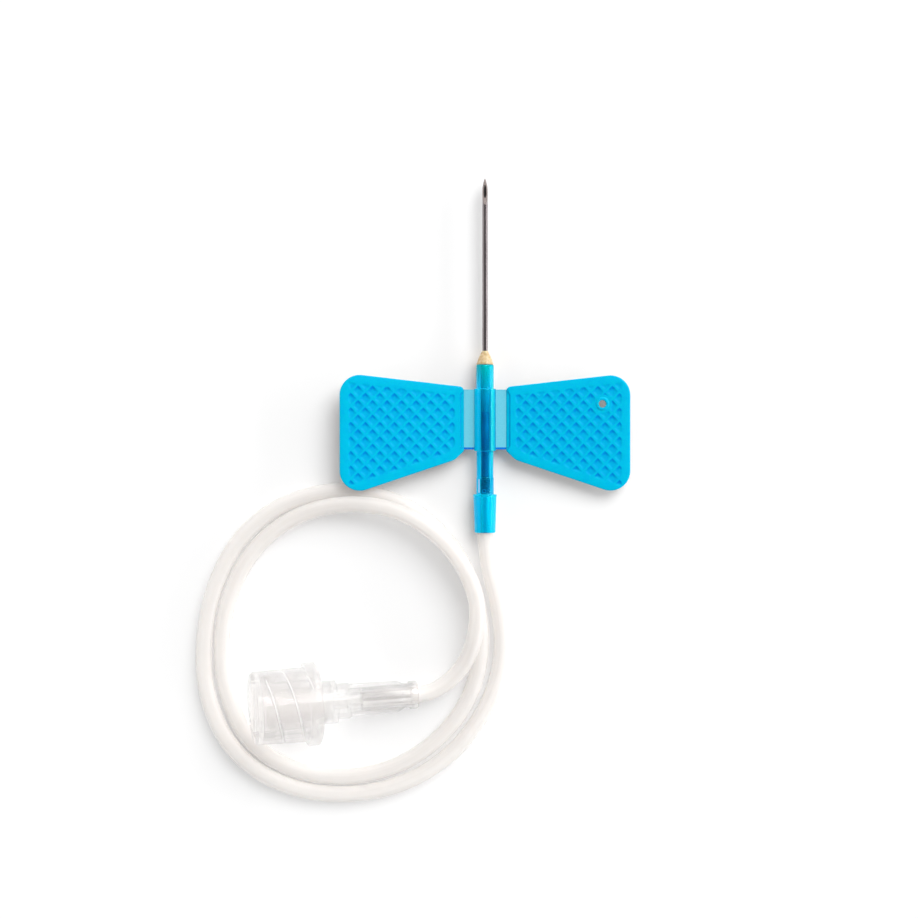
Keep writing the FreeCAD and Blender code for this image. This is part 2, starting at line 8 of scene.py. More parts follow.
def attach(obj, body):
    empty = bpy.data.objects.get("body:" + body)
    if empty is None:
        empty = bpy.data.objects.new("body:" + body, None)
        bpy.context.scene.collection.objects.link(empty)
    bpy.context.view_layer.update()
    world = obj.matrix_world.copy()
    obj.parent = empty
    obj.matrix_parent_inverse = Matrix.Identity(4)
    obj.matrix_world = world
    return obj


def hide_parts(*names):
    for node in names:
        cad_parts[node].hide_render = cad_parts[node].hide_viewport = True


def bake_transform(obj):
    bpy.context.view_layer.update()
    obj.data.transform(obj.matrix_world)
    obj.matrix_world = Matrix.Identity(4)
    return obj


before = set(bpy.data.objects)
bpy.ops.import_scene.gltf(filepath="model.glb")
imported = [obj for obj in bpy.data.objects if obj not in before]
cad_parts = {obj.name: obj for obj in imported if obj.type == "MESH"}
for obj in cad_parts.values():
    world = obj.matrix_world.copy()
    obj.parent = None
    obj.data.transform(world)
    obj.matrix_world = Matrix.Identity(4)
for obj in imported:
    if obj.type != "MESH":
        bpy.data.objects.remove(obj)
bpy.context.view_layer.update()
MM = 0.001

# Camera
F_PX, FRAME_PX = 1875.6, 918
camera_data = bpy.data.cameras.new("camera")
camera_data.sensor_width = 36.0
camera_data.lens = 36.0 * F_PX / FRAME_PX
camera_data.clip_start, camera_data.clip_end = 0.01, 10.0
camera = bpy.data.objects.new("camera", camera_data)
camera.location = (-3.1325 * MM, -12.459 * MM, 227.4 * MM)
bpy.context.scene.collection.objects.link(camera)
bpy.context.scene.camera = camera

# Frames of the hub and of the connector, in mm. The hub's own Y axis is the axis of the needle.
HUB_Y, HUB_Z = -7.7, 1.42
HUB = Matrix.Translation((0.0, HUB_Y, HUB_Z))
TILT, TURN = math.radians(13.0), math.radians(3.43)
ALONG = Vector((math.cos(TILT) * math.cos(TURN), math.cos(TILT) * math.sin(TURN), -math.sin(TILT)))
ACROSS = Vector((0, 0, 1)).cross(ALONG).normalized()
FLANGE_R, FLANGE_TOP = 4.9, 7.68
CAP_END = Vector((-27.55, -41.9, FLANGE_TOP * math.sin(TILT) + FLANGE_R * math.cos(TILT)))
UP = ALONG.cross(ACROSS)
CONNECTOR = Matrix((
    (-ACROSS.x, ALONG.x, UP.x, CAP_END.x),
    (-ACROSS.y, ALONG.y, UP.y, CAP_END.y),
    (-ACROSS.z, ALONG.z, UP.z, CAP_END.z),
    (0, 0, 0, 1),
))
LUER_TAIL = 19.86


# Materials
def shader_of(m):
    return m.node_tree.nodes["Principled BSDF"]


def material(name, color, rough, **sockets):
    m = bpy.data.materials.new(name)
    m.use_nodes = True
    shader = shader_of(m)
    shader.inputs["Base Color"].default_value = (*color, 1)
    shader.inputs["Roughness"].default_value = rough
    for socket, value in sockets.items():
        shader.inputs[socket.replace("_", " ")].default_value = value
    return m


def add(m, kind, values=None, links=None, **settings):
    """Adds a node with its settings, the values of some sockets and the sources of others."""
    new = m.node_tree.nodes.new(kind)
    for setting, value in settings.items():
        setattr(new, setting, value)
    for socket, value in (values or {}).items():
        new.inputs[socket].default_value = value
    for socket, source in (links or {}).items():
        m.node_tree.links.new(source, new.inputs[socket])
    return new


def into(m, socket, source):
    m.node_tree.links.new(source, shader_of(m).inputs[socket])


def span(m, source, start, end, low=0.0, high=1.0):
    """Turns a value that runs from start to end into one that runs from low to high."""
    limits = {"From Min": start, "From Max": end, "To Min": low, "To Max": high}
    return add(m, "ShaderNodeMapRange", limits, {"Value": source}).outputs["Result"]


def stored(m, name):
    """A value that the mesh stores at each of its points."""
    return add(m, "ShaderNodeAttribute", attribute_name=name).outputs["Fac"]


def combine(m, operation, first, second):
    return add(m, "ShaderNodeMath", links={0: first, 1: second}, operation=operation).outputs[0]


def mix(m, share, first, second):
    """Mixes a colour by a share into a second one, which is a socket or a plain colour."""
    node = add(m, "ShaderNodeMix", links={0: share, 6: first}, data_type="RGBA")
    if isinstance(second, tuple):
        node.inputs[7].default_value = (*second, 1)
    else:
        m.node_tree.links.new(second, node.inputs[7])
    return node.outputs[2]


def ramp(m, source, *stops):
    """Runs a colour through (place, colour) stops with a value from 0 to 1."""
    node = add(m, "ShaderNodeValToRGB", links={"Fac": source})
    elements = node.color_ramp.elements
    while len(elements) < len(stops):
        elements.new(0.5)
    for element, (place, color) in zip(elements, stops):
        element.position = place
        element.color = (*color, 1)
    return node.outputs["Color"]


def pattern(m, coordinates, scale, detail, **mapping):
    """Noise over the surface, with the values of the Mapping node before it."""
    coords = add(m, "ShaderNodeTexCoord").outputs[coordinates]
    vector = add(m, "ShaderNodeMapping", mapping, {"Vector": coords}).outputs["Vector"]
    values = {"Scale": scale, "Detail": detail}
    return add(m, "ShaderNodeTexNoise", values, {"Vector": vector}).outputs["Fac"]


def roughen(m, scale, strength, distance, detail=2.0, stretch=(1, 1, 1)):
    """Bumps the surface with a fine noise and returns the noise."""
    value = pattern(m, "Object", scale, detail, Scale=stretch)
    bump = add(m, "ShaderNodeBump", {"Strength": strength, "Distance": distance}, {"Height": value})
    into(m, "Normal", bump.outputs["Normal"])
    return value


def vary(m, value, low, high):
    """Runs the base colour from one shade to another with a noise."""
    into(m, "Base Color", ramp(m, value, (0.3, low), (0.7, high)))


def grained(name, color, rough, low, high, grain, **sockets):
    """A material whose base colour runs between two shades with the noise that bumps it."""
    m = material(name, color, rough, **sockets)
    vary(m, roughen(m, **grain), low, high)
    return m


def light_shadow(m, solid, shadow):
    """Lets part of the lamp light through: alpha for what is seen, and for the shadow that falls."""
    path = add(m, "ShaderNodeLightPath").outputs["Is Shadow Ray"]
    into(m, "Alpha", span(m, path, 0.0, 1.0, solid, shadow))


def quiet(m, grey):
    """Keeps the light that the plastic throws on the floor near neutral."""
    source = shader_of(m).inputs["Base Color"].links[0].from_socket
    path = add(m, "ShaderNodeLightPath").outputs["Is Diffuse Ray"]
    into(m, "Base Color", mix(m, path, source, (grey, grey, grey)))


# The grain of each kind of surface
drawn = {"scale": 9000, "strength": 0.15, "distance": 0.00001, "stretch": (1, 0.02, 1)}
ground = {"scale": 9000, "strength": 0.3, "distance": 0.00001, "stretch": (0.05, 1, 1)}
moulded = {"scale": 3000, "strength": 0.3, "distance": 0.00003}
polished = {"scale": 600, "strength": 0.05, "distance": 0.00005}

# Needle and glue
steel = grained("steel", (0.30, 0.27, 0.275), 0.14, (0.19, 0.162, 0.168), (0.28, 0.25, 0.256),
                drawn, Metallic=1.0)
ground_steel = grained("ground_steel", (0.24, 0.21, 0.20), 0.34, (0.17, 0.14, 0.135),
                       (0.26, 0.225, 0.215), ground, Metallic=1.0)
# The inside of the needle's bore is near black: painted shade.
lumen_painted_shade = grained("lumen_painted_shade", (0.02, 0.018, 0.018), 0.5, (0.012, 0.01, 0.01),
                     (0.03, 0.026, 0.026), drawn, Metallic=0.6)

glue_cream = grained("glue_cream", (0.68, 0.54, 0.32), 0.3, (0.50, 0.34, 0.14), (0.76, 0.61, 0.38),
                     {"scale": 2600, "strength": 0.5, "distance": 0.00006, "detail": 3.0},
                     Subsurface_Weight=0.25, Subsurface_Scale=0.0004)

# The fill takes on the blue of the hub towards its thin end. Places are in mm along the object's Y.
FILL_BLUE_Y, FILL_CREAM_Y = -7.1, -1.1
glue_fill = material("glue_fill", (0.78, 0.72, 0.55), 0.5)
roughen(glue_fill, 2200, 0.4, 0.00005)
coords = add(glue_fill, "ShaderNodeTexCoord").outputs["Object"]
parts = add(glue_fill, "ShaderNodeSeparateXYZ", links={"Vector": coords})
depth = span(glue_fill, parts.outputs["Y"], FILL_BLUE_Y * MM, FILL_CREAM_Y * MM)
shades = ramp(glue_fill, depth, (0.0, (0.10, 0.20, 0.40)), (1 / 3, (0.28, 0.36, 0.54)),
              (2 / 3, (0.62, 0.60, 0.66)), (1.0, (0.95, 0.86, 0.72)))
into(glue_fill, "Base Color", shades)

# Hub, with its inside and the pieces that show through it
bore_blue = grained("bore_blue", (0.0, 0.16, 0.42), 0.35, (0.0, 0.075, 0.25), (0.0, 0.20, 0.46),
                    {"scale": 1500, "strength": 0.3, "distance": 0.00003, "stretch": (1, 0.25, 1)})
socket_lining = grained("socket_lining", (0.3, 0.86, 0.94), 0.4, (0.28, 0.83, 0.92),
                        (0.32, 0.88, 0.97), {"scale": 600, "strength": 0.15, "distance": 0.00002})
seat_blue = grained("seat_blue", (0.0, 0.14, 0.30), 0.3, (0.0, 0.04, 0.13), (0.0, 0.18, 0.36), moulded)
ring_blue = grained("ring_blue", (0.05, 0.40, 0.80), 0.3, (0.03, 0.35, 0.75), (0.07, 0.45, 0.85),
                    moulded)
# A pale blue for a thin strip on the left of the neck: a painted highlight.
painted_highlight_strip = grained("painted_highlight_strip", (0.35, 0.66, 1.0), 0.3, (0.3, 0.62, 0.97), (0.4, 0.7, 1.0), moulded)

hub_blue = material("hub_blue", (0.0, 0.52, 0.93), 0.06, IOR=1.4, Transmission_Weight=0.9,
                    Specular_IOR_Level=0.5, Specular_Tint=(0.15, 0.85, 1.0, 1.0),
                    Subsurface_Weight=0.8, Subsurface_Scale=0.0015, Subsurface_Radius=(1, 1, 1))
roughen(hub_blue, 700, 0.05, 0.00004)
# The hub's blue runs from teal in front through the sleeve's blue to a dark blue that is painted shade.
blues = ramp(hub_blue, stored(hub_blue, "blue_and_shade"), (0.0, (0.0, 0.50, 0.70)),
             (0.5, (0.0, 0.56, 0.94)), (1.0, (0.0, 0.24, 0.58)))
# Bright cyan mixed in along a streak: a painted highlight.
into(hub_blue, "Base Color", mix(hub_blue, stored(hub_blue, "painted_highlight"), blues, (0.02, 0.92, 1.0)))
quiet(hub_blue, 0.8)
facing = add(hub_blue, "ShaderNodeLayerWeight", {"Blend": 0.5}).outputs["Facing"]
clearness = span(hub_blue, facing, 0.05, 0.2, 0.93, 0.45)
# Less clear on the left of the sleeve, which makes that side look lighter: painted light.
clearness = combine(hub_blue, "SUBTRACT", clearness, stored(hub_blue, "painted_light_haze"))
into(hub_blue, "Transmission Weight", clearness)
light_shadow(hub_blue, 1.0, 0.5)

# Wings and their strips
wing_blue = material("wing_blue", (0.0, 0.385, 0.66), 0.34, Specular_IOR_Level=0.12,
                     Subsurface_Weight=0.3, Subsurface_Scale=0.0004,
                     Specular_Tint=(0.3, 0.85, 1.0, 1.0))
mottle = span(wing_blue, roughen(wing_blue, 1100, 0.10, 0.00003), 0.3, 0.7, -0.11, 0.13)
# The stored value is painted shade: darker blue in the dimples and along the groove; the noise is a
# random tone.
shade = combine(wing_blue, "ADD", stored(wing_blue, "pit_painted_shade"), mottle)
shades = ramp(wing_blue, shade, (0.0, (0.0, 0.50, 0.75)), (1.0, (0.0, 0.255, 0.70)))
into(wing_blue, "Base Color", shades)
quiet(wing_blue, 0.5)
light_shadow(wing_blue, 1.0, 0.75)

strip_blue = grained("strip_blue", (0.13, 0.57, 0.73), 0.45, (0.132, 0.585, 0.75), (0.16, 0.61, 0.78),
                     {"scale": 6000, "strength": 0.2, "distance": 0.00001}, Specular_IOR_Level=0.2)
quiet(strip_blue, 0.55)
deep_blue = grained("deep_blue", (0.0, 0.15, 0.70), 0.3, (0.0, 0.15, 0.66), (0.0, 0.20, 0.78),
                    {"scale": 3000, "strength": 0.2, "distance": 0.00001}, Specular_IOR_Level=0.2)

# Tube
tube_milk = material("tube_milk", (0.93, 0.897, 0.87), 0.3, IOR=1.35, Sheen_Weight=0.1,
                     Subsurface_Weight=0.6, Subsurface_Scale=0.001,
                     Subsurface_Radius=(1.0, 0.95, 0.9))
roughen(tube_milk, 500, 0.06, 0.00005)
streaks = pattern(tube_milk, "UV", 1.0, 2.0, Scale=(1.0, 9.0, 1.0))
milk = ramp(tube_milk, streaks, (0.3, (0.845, 0.812, 0.786)), (0.7, (0.95, 0.918, 0.892)))
# Noise for the painted dark and light lines on the end of the tube that the connector holds.
lines = pattern(tube_milk, "Object", 2600, 1.0, Rotation=(0.0, 0.0, -TURN), Scale=(0.03, 1.0, 0.1))
painted_fin_lines = ramp(tube_milk, lines, (0.42, (0.36, 0.345, 0.335)), (0.58, (0.98, 0.96, 0.95)))

# The end of the tube that the connector holds gets painted dark and light lines: painted shade and
# highlights from the connector's fins and bore. Edges are in mm.
HELD = (("X", -14.9, 1), ("X", -8.6, -1), ("Y", -42.6, 1), ("Y", -39.4, -1))
HELD_FADE = 0.2
coords = add(tube_milk, "ShaderNodeTexCoord").outputs["Object"]
parts = add(tube_milk, "ShaderNodeSeparateXYZ", links={"Vector": coords})
held = None
for axis, edge, sign in HELD:
    gate = span(tube_milk, parts.outputs[axis], edge * MM, (edge + HELD_FADE * sign) * MM)
    held = combine(tube_milk, "MULTIPLY", held, gate) if held else gate
into(tube_milk, "Base Color", mix(tube_milk, held, milk, painted_fin_lines))
light_shadow(tube_milk, 0.6, 0.4)

# Connector and cap
clear = grained("clear", (0.86, 0.85, 0.84), 0.06, (0.80, 0.785, 0.775), (0.84, 0.83, 0.82),
                polished, IOR=1.5, Transmission_Weight=0.85)
light_shadow(clear, 0.65, 0.12)
cap_clear = grained("cap_clear", (0.84, 0.82, 0.81), 0.08, (0.85, 0.83, 0.82), (0.90, 0.88, 0.87),
                    polished, IOR=1.42, Transmission_Weight=0.8)
light_shadow(cap_clear, 0.55, 0.12)
glint = grained("thread_glint", (1.0, 1.0, 1.0), 0.2, (0.93, 0.93, 0.93), (1.0, 1.0, 1.0),
                polished, Transmission_Weight=0.4)
light_shadow(glint, 0.75, 0.15)


# Mesh helpers, all in millimetres
def piece(name, verts, faces, matrix, look, body, angle=35.0, nodes=()):
    """Makes a closed mesh, smooth up to an angle, on a body and in place of some nodes."""
    mesh = bpy.data.meshes.new(name)
    mesh.from_pydata([(matrix @ Vector(v)) * MM for v in verts], [], faces)
    mesh.validate()
    bm = bmesh.new()
    bm.from_mesh(mesh)
    bmesh.ops.recalc_face_normals(bm, faces=bm.faces)
    bm.to_mesh(mesh)
    bm.free()
    mesh.polygons.foreach_set("use_smooth", [True] * len(mesh.polygons))
    mesh.set_sharp_from_angle(angle=math.radians(angle))
    mesh.materials.append(look)
    o = bpy.data.objects.new(name, mesh)
    bpy.context.scene.collection.objects.link(o)
    if body:
        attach(o, body)
    if nodes:
        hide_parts(*nodes)
    return o


def soft(points, size, steps=3, closed=False):
    """Rounds the corners of a profile of (r, s) pairs."""
    out = []
    n = len(points)
    for i, p in enumerate(points):
        if not closed and i in (0, n - 1):
            out.append(tuple(p))
            continue
        a, b = Vector(points[i - 1]), Vector(points[(i + 1) % n])
        c = Vector(p)
        ta, tb = a - c, b - c
        reach = min(size, 0.45 * ta.length, 0.45 * tb.length)
        if reach < 1e-4 or abs(ta.angle(tb) - math.pi) < 0.05:
            out.append(tuple(p))
            continue
        pa, pb = c + ta.normalized() * reach, c + tb.normalized() * reach
        for k in range(steps + 1):
            t = k / steps
            q = pa * (1 - t) ** 2 + c * 2 * t * (1 - t) + pb * t * t
            out.append((q.x, q.y))
    return out


def store(o, name, values):
    """Stores a value at each point of a mesh, for its material."""
    attribute = o.data.attributes.new(name, "FLOAT", "POINT")
    attribute.data.foreach_set("value", values)


def smooth(t):
    """Rises from 0 to 1 while t does, level at both ends."""
    t = min(1.0, max(0.0, t))
    return t * t * (3 - 2 * t)


def even(count):
    """Angles in even steps round a full turn."""
    return [2 * math.pi * k / count for k in range(count)]


def mixed(special, step):
    """Angles round a full turn: the special ones, in degrees, and enough between them."""
    marks = sorted({round(a % 360, 4) for a in special})
    out = []
    for a, b in zip(marks, marks[1:] + [marks[0] + 360]):
        parts = max(1, math.ceil((b - a) / step))
        out += [math.radians(a + (b - a) * k / parts) for k in range(parts)]
    return out


def lathe(profile, angles, radius=None, closed=False, base=0):
    """Turns (r, s) pairs about the local Y axis. radius(r, s, angle) may change r. r 0 is a pole."""
    verts, rows, faces = [], [], []
    for r, s in profile:
        if r < 1e-6:
            rows.append([base + len(verts)])
            verts.append((0.0, s, 0.0))
            continue
        row = []
        for a in angles:
            q = radius(r, s, a) if radius else r
            row.append(base + len(verts))
            verts.append((q * math.cos(a), s, q * math.sin(a)))
        rows.append(row)
    pairs = list(zip(rows, rows[1:])) + ([(rows[-1], rows[0])] if closed else [])
    n = len(angles)
    for a, b in pairs:
        for i in range(n):
            j = (i + 1) % n
            if len(a) == 1 and len(b) == 1:
                continue
            if len(a) == 1:
                faces.append((a[0], b[i], b[j]))
            elif len(b) == 1:
                faces.append((a[i], b[0], a[j]))
            else:
                faces.append((a[i], b[i], b[j], a[j]))
    return verts, faces


# Tube. Its middle line in mm runs from the hub to the connector, 0.98 high where it lies on the table.
TUBE_R = 0.975
ROUTE = [
    (0.0, -18.12, HUB_Z), (0.0, -24.15, HUB_Z), (1.7, -29.85, 1.05), (2.25, -36.1, 0.98),
    (0.7, -41.73, 0.98), (-3.29, -47.66, 0.98), (-9.27, -51.65, 0.98), (-16.3, -53.15, 0.98),
    (-23.63, -52.35, 0.98), (-30.11, -48.46, 0.98), (-33.6, -41.83, 0.98), (-34.1, -34.65, 0.98),
    (-32.85, -27.82, 0.98), (-29.51, -21.44, 0.98), (-23.53, -17.15, 0.98), (-16.3, -16.0, 0.98),
    (-9.32, -17.8, 0.98), (-4.04, -22.43, 0.98), (-1.1, -28.4, 0.98), (-0.18, -34.65, 0.98),
    (-1.44, -40.83, 0.98), (-5.0, -45.95, 0.98), (-10.12, -49.51, 0.98), (-16.3, -51.02, 0.98),
    (-22.78, -50.32, 0.98), (-28.5, -46.9, 0.98), (-31.26, -40.88, 0.98), (-31.97, -34.65, 0.98),
    (-30.91, -28.62, 0.98), (-27.9, -23.05, 0.98), (-22.73, -19.04, 1.1), (-16.2, -17.58, 2.2),
    (-9.65, -18.7, 2.95), (-4.3, -22.6, 3.1), (-1.0, -28.1, 3.2), (-0.9, -32.8, 3.15),
    (-2.4, -37.5, 1.7),
]
for place_along in (LUER_TAIL + 2.3, 18.2, 13.1):
    ROUTE.append(tuple(CAP_END + ALONG * place_along))
tube_curve = bpy.data.curves.new("tube", "CURVE")
tube_curve.dimensions = "3D"
tube_curve.resolution_u = 12
tube_curve.bevel_depth = TUBE_R * MM
tube_curve.bevel_resolution = 7
tube_curve.use_fill_caps = True
spline = tube_curve.splines.new("NURBS")
spline.points.add(len(ROUTE) - 1)
for point, place in zip(spline.points, ROUTE):
    point.co = (place[0] * MM, place[1] * MM, place[2] * MM, 1.0)
spline.order_u = 3
spline.use_endpoint_u = True
tube = bpy.data.objects.new("tube", tube_curve)
bpy.context.scene.collection.objects.link(tube)
tube_curve.materials.append(tube_milk)
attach(tube, "hub")
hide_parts("tubing")

# Needle
NEEDLE_R, LUMEN_R = 0.32, 0.165
NEEDLE_BACK, NEEDLE_POINT = -8.9, 29.1
BEVEL_LENGTH, LANCET_SLOPE, LANCET_TURN = 3.25, 16, 35
BEVEL_FROM = 15.0
LUMEN_FACES, GROUND_FACES = 1, 2


def make_needle():
    """A steel tube, cut by one long plane and by two lancet planes that turn to either side."""
    bm = bmesh.new()
    count = 64
    rings = []
    for r, s in ((LUMEN_R, NEEDLE_BACK), (NEEDLE_R, NEEDLE_BACK), (NEEDLE_R, NEEDLE_POINT),
                 (LUMEN_R, NEEDLE_POINT)):
        rings.append([bm.verts.new((r * math.cos(a), s, r * math.sin(a))) for a in even(count)])
    for a, b in zip(rings, rings[1:] + rings[:1]):
        for i in range(count):
            j = (i + 1) % count
            bm.faces.new((a[i], b[i], b[j], a[j]))
    point = Vector((0, NEEDLE_POINT, -NEEDLE_R))
    cuts = [(math.atan(2 * NEEDLE_R / BEVEL_LENGTH), 0.0)]
    for side in (-1, 1):
        cuts.append((math.radians(LANCET_SLOPE), math.radians(side * LANCET_TURN)))
    for slope, turn in cuts:
        flat = math.cos(slope)
        normal = Vector((flat * math.sin(turn), math.sin(slope), flat * math.cos(turn)))
        bmesh.ops.bisect_plane(bm, geom=bm.verts[:] + bm.edges[:] + bm.faces[:],
                               plane_co=point + normal * 1e-4, plane_no=normal, clear_outer=True,
                               dist=1e-6)
        rim = [e for e in bm.edges if e.is_boundary]
        bmesh.ops.triangle_fill(bm, use_beauty=True, edges=rim)
    bmesh.ops.remove_doubles(bm, verts=bm.verts, dist=1e-5)
    bmesh.ops.recalc_face_normals(bm, faces=bm.faces)
    verts = [tuple(v.co) for v in bm.verts]
    bm.verts.index_update()
    faces = [[v.index for v in f.verts] for f in bm.faces]
    bm.free()
    o = piece("needle", verts, faces, HUB, steel, "hub", angle=12, nodes=("needle_cannula",))
    o.data.materials.append(lumen_painted_shade)
    o.data.materials.append(ground_steel)
    for face in o.data.polygons:
        x, place, z = face.center / MM
        if face.normal.y > 0.1 and place > BEVEL_FROM:
            face.material_index = GROUND_FACES
        # The bore's inside faces take the near-black painted shade.
        if math.hypot(x, z - HUB_Z) < LUMEN_R + 0.005 and abs(face.normal.y) < 0.05:
            face.material_index = LUMEN_FACES


make_needle()


# Glue
def glue_radius(r, s, a):
    """Makes the free face of the glue lumpy."""
    if s < 6.6 or r < 0.33:
        return r
    p = Vector((math.cos(a) * 1.3, s * 1.6, math.sin(a) * 1.3))
    return r * (1 + 0.07 * noise.noise(p * 1.9) + 0.03 * noise.noise(p * 5.1 + Vector((3, 1, 7))))


fill_profile = [(0.31, 0.6), (0.33, 0.6), (0.36, 1.6), (0.44, 3.0), (0.55, 4.2), (0.72, 5.2),
                (0.84, 5.9), (0.86, 6.55), (0.31, 6.55)]
verts, faces = lathe(soft(fill_profile, 0.3, closed=True), even(64), closed=True)
piece("glue_fill", verts, faces, HUB, glue_fill, "hub", angle=80)
CONE_START, CONE_LENGTH, CONE_STEPS = 6.74, 1.5, 14
glue_profile = [(0.30, 6.5), (0.84, 6.5), (0.97, 6.63), (1.0, CONE_START)]
for k in range(1, CONE_STEPS + 1):
    t = k / CONE_STEPS
    bulge = 0.05 * math.sin(math.pi * t)
    glue_profile.append((1.0 - 0.66 * t + bulge, CONE_START + CONE_LENGTH * t))
glue_profile.append((0.30, 8.26))
verts, faces = lathe(glue_profile, even(72), glue_radius, closed=True)
piece("glue", verts, faces, HUB, glue_cream, "hub", angle=80, nodes=("glue_bead",))

# Hub and sleeve. Places along the hub are in mm from the middle of the sleeve.
SLEEVE_HALF = 3.9
SLOT_FRONT, SLOT_BACK, SLOT_TOP = -7.22, -8.82, 0.90
SOCKET_EDGE = -9.25
shell_profile = soft([
    (0.0, 6.62), (1.0, 6.62), (1.07, 6.45), (1.06, 3.73), (1.325, 3.68), (1.325, -3.78),
    (1.03, -3.85), (1.02, -6.98), (1.06, -7.04), (1.06, -7.2), (1.06, -7.24), (1.06, -8.8),
    (1.06, -8.84), (1.06, -8.96), (1.43, -9.02), (1.44, -9.2), (1.40, -9.3), (1.27, -13.6),
    (1.0, -13.67), (0.0, -13.67),
], 0.05)


def shell_radius(r, s, a):
    """Cuts the flat top of the neck behind the sleeve."""
    if SLOT_BACK < s < SLOT_FRONT and r > SLOT_TOP:
        top = math.sin(a)
        if top > 0.5:
            return min(r, SLOT_TOP / top)
    return r


def blue_and_painted_shade(x, s, z):
    """Which blue a point of the hub has: 0 in front, 0.5 in the middle, up to 1 where shade is painted:
    a dark streak along the middle of the socket, the right edge of the sleeve and a streak along the
    sleeve's top.
    """
    share = 0.5 - 0.5 * smooth((s - 3.4) / 2.2)
    # Painted shade: a dark streak along the middle of the socket, above and below.
    if s < SOCKET_EDGE and abs(z) > 0.9:
        share += 0.5 * smooth(1 - abs(x) / 0.42)
    if abs(s) < SLEEVE_HALF:
        # Painted shade at the right edge of the sleeve, and in a dark streak along its top.
        share += 0.5 * smooth((x - 1.22) / 0.07)
        if z > 0:
            share += 0.35 * smooth(1 - abs(x + 0.16) / 0.3) * smooth((3.0 - s) / 1.2)
    return share


def painted_highlight_share(x, s, z):
    """The painted highlight: a bright streak painted along the right of the sleeve and of the front."""
    if z < 0.3:
        return 0.0
    if abs(s) < SLEEVE_HALF:
        return 0.9 * smooth(1.25 - abs(x - 0.9) / 0.2)
    if SLEEVE_HALF < s < 6.4:
        return 0.4 * smooth(1.2 - abs(x - 0.62) / 0.2)
    return 0.0


def painted_light_haze_share(x, s, z):
    """How much less clear the left of the sleeve is, which paints that side lighter: painted light."""
    return 0.45 * smooth((-0.42 - x) / 0.16) if s < 3.8 and z > -0.3 else 0.0


seat_profile = soft([(0.345, -6.95), (0.95, -6.95), (0.95, -7.05), (0.62, -7.08), (0.62, -8.86),
                     (0.345, -8.9)], 0.04, closed=True)
verts, faces = lathe(seat_profile, even(48), closed=True)
piece("tube_seat", verts, faces, HUB, seat_blue, "hub", angle=50)
lining_profile = soft([(0.985, -9.15), (1.1, -9.15), (1.1, -13.55), (0.985, -13.55)], 0.03,
                      closed=True)
verts, faces = lathe(lining_profile, even(64), closed=True)
piece("socket_lining", verts, faces, HUB, socket_lining, "hub", angle=50)
RING_R, WIRE_R = 0.2, 0.06
ring = [(RING_R + WIRE_R * math.cos(a), WIRE_R * math.sin(a)) for a in even(12)]
verts, faces = lathe(ring, even(32), closed=True)
upright = Matrix.Rotation(math.radians(90), 4, "X")
ring_place = HUB @ Matrix.Translation((-0.12, -8.62, 0.68)) @ upright
piece("seat_ring", verts, faces, ring_place, ring_blue, "hub", angle=50)
bore_profile = soft([(0.325, 0.9), (0.34, 0.9), (0.37, 0.5), (0.37, -3.6), (0.335, -3.8),
                     (0.335, -6.9), (0.325, -6.9)], 0.05, closed=True)
verts, faces = lathe(bore_profile, even(48), closed=True)
piece("bore_wall", verts, faces, HUB, bore_blue, "hub", angle=50)
verts, faces = lathe(shell_profile, mixed([90 + d for d in range(-50, 51, 2)], 4.0), shell_radius)
shell = piece("hub_shell", verts, faces, HUB, hub_blue, "hub", angle=50,
              nodes=("needle_hub", "wing_sleeve"))
shell.data.materials.append(painted_highlight_strip)
# A thin strip on the left of the neck takes the pale blue: a painted highlight.
for face in shell.data.polygons:
    x, place, z = face.center / MM
    along_hub = place - HUB_Y
    if SLOT_BACK < along_hub < -7.2 and -0.80 < x < -0.66 and z > HUB_Z:
        face.material_index = 1
# Stores the blue with its painted shade, the painted highlight streak, and the less clear left side
# that paints that side lighter.
for name, share in (("blue_and_shade", blue_and_painted_shade), ("painted_highlight", painted_highlight_share), ("painted_light_haze", painted_light_haze_share)):
    store(shell, name, [share(x, s, z) for x, s, z in verts])

# Wings. Each is drawn as a right wing, in mm from the hub's axis and the middle of the sleeve.
REACH, ROOT = 17.5, 2.54
HALF = 0.4
FILLET, FILLET_STEPS = 0.15, 4
CORNERS = [((ROOT, -3.78), 0.3), ((3.72, -4.894), 1.6), ((REACH, -9.5), 2.4), ((REACH, 5.6), 2.4),
           ((ROOT, 3.92), 0.6)]
HINGE_X, LEFT_PITCH = 1.9325, 5.5

# Dimples: their spacing, the width of the ridges between them, their depth and the place of one of them
PITCH, RIDGE, PIT = 1.74, 0.12, 0.085
DIMPLE_X, DIMPLE_Y = 4.0, -4.5
MARGIN = 1.0

# The hole of the right wing, its plain border and the raised ring round it
HOLE_X, HOLE_Y, HOLE_R, HOLE_STEPS = 14.13, 1.88, 0.45, 48
HOLE_BORDER = 1.0
RING_HEIGHT = 0.12

# The groove beside the strip
GROOVE_X, GROOVE_DEPTH = 2.98, 0.13


def outline_points(corners, step=0.14):
    """Points and outward normals of a convex outline with a radius at each anticlockwise corner."""
    points = []
    n = len(corners)
    for i in range(n):
        a, b = Vector(corners[i - 1][0]), Vector(corners[(i + 1) % n][0])
        c, radius = Vector(corners[i][0]), corners[i][1]
        da, db = (a - c).normalized(), (b - c).normalized()
        half = da.angle(db) / 2
        centre = c + (da + db).normalized() * radius / math.sin(half)
        first = c + da * radius / math.tan(half) - centre
        sweep = math.pi - 2 * half
        arcs = max(6, int(sweep * radius / step))
        for k in range(arcs + 1):
            t = sweep * k / arcs
            cos, sin = math.cos(t), math.sin(t)
            v = Vector((first.x * cos - first.y * sin, first.x * sin + first.y * cos))
            points.append((centre + v, v.normalized()))
    full = []
    for i, (p, u) in enumerate(points):
        q, w = points[(i + 1) % len(points)]
        pieces = max(1, int((q - p).length / 0.45))
        for k in range(pieces):
            full.append((p.lerp(q, k / pieces), u.lerp(w, k / pieces).normalized()))
    return full


